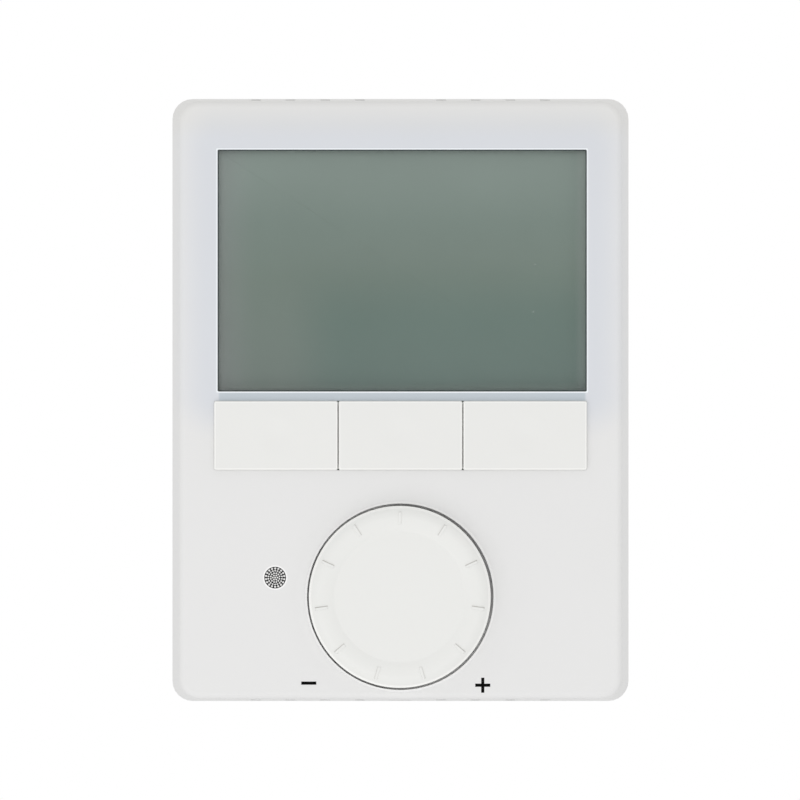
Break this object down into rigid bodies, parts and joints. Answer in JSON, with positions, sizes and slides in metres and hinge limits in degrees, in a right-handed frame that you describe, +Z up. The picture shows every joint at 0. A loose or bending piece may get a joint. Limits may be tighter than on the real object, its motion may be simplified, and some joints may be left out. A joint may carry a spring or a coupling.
{
  "type": "wall thermostat",
  "caption": "Rectangular white wall thermostat with a wide display, a row of push buttons and a round dial; the front swings up off a screwed wall plate.",
  "frame": {"origin": "centre of the wall plate's back face, between the two wall-box slots, on the wall plane", "axes": "+Z up along the height, +Y into the wall, -Y out of the front, +X to the right seen from the front"},
  "size_m": [0.095, 0.0312, 0.1254],
  "materials": {
    "housing": "smooth matte, white",
    "button": "smooth matte, white",
    "dial": "smooth matte, white",
    "plate": "matte, white",
    "cover": "matte, light grey",
    "window": "clear, glossy",
    "lcd_cell": "grey-green polariser",
    "light_guide": "milky",
    "black": "matte, black",
    "switch": "matte, black",
    "plunger": "matte, cream",
    "elastomer": "striped silicone",
    "membrane": "white felt",
    "board": "solder mask, green",
    "terminal": "matte, grey",
    "steel": "zinc plated",
    "gold": "black strip with plated pins",
    "aluminium": "satin",
    "relay": "matte, blue",
    "ferrite": "tape-wrapped",
    "fuse": "ceramic tube"
  },
  "bodies": {
    "base": {"mounting_plate": "plate", "terminal_block_mains": "terminal", "terminal_block_signal": "terminal", "terminal_screw_1": "steel", "terminal_screw_2": "steel", "terminal_screw_3": "steel", "terminal_screw_4": "steel", "terminal_screw_5": "steel", "terminal_screw_6": "steel", "terminal_screw_7": "steel"},
    "housing": {"board_link": "black", "board_screw_1": "steel", "board_screw_2": "steel", "board_screw_3": "steel", "board_screw_4": "steel", "capacitor_1": "aluminium", "capacitor_2": "aluminium", "controller_chip": "black", "display_window": "window", "encoder_body": "steel", "front_housing": "housing", "fuse": "fuse", "lcd_backlight": "light_guide", "lcd_contact_strip": "elastomer", "lcd_frame": "black", "lcd_glass": "lcd_cell", "lock_screw": "steel", "main_board": "board", "plug_header_mains": "gold", "plug_header_signal": "gold", "power_board": "board", "rear_cover": "cover", "relay_1": "relay", "relay_2": "relay", "sensor_grille": "black", "switch_body_left": "switch", "switch_body_middle": "switch", "switch_body_right": "switch", "temperature_sensor": "black", "transformer": "ferrite", "vent_membrane": "membrane"},
    "knob": {"knob": "dial", "encoder_shaft": "aluminium"},
    "button_left": {"button_left": "button", "switch_plunger_left": "plunger"},
    "button_middle": {"button_middle": "button", "switch_plunger_middle": "plunger"},
    "button_right": {"button_right": "button", "switch_plunger_right": "plunger"}
  },
  "joints": [
    {"name": "housing_swing", "type": "hinge", "parent": "base", "child": "housing", "pos_m": [0, -0.0046, 0.0596], "axis": [-1, 0, 0], "range_deg": [0, 30]},
    {"name": "dial_turn", "type": "hinge", "parent": "housing", "child": "knob", "pos_m": [-0.00015, -0.0242, -0.04065], "axis": [0, -1, 0], "continuous": true},
    {"name": "button_left_press", "type": "slide", "parent": "housing", "child": "button_left", "axis": [0, 1, 0], "range_m": [0, 0.0006], "stiffness_N_per_m": 1500},
    {"name": "button_middle_press", "type": "slide", "parent": "housing", "child": "button_middle", "axis": [0, 1, 0], "range_m": [0, 0.0006], "stiffness_N_per_m": 1500},
    {"name": "button_right_press", "type": "slide", "parent": "housing", "child": "button_right", "axis": [0, 1, 0], "range_m": [0, 0.0006], "stiffness_N_per_m": 1500}
  ]
}
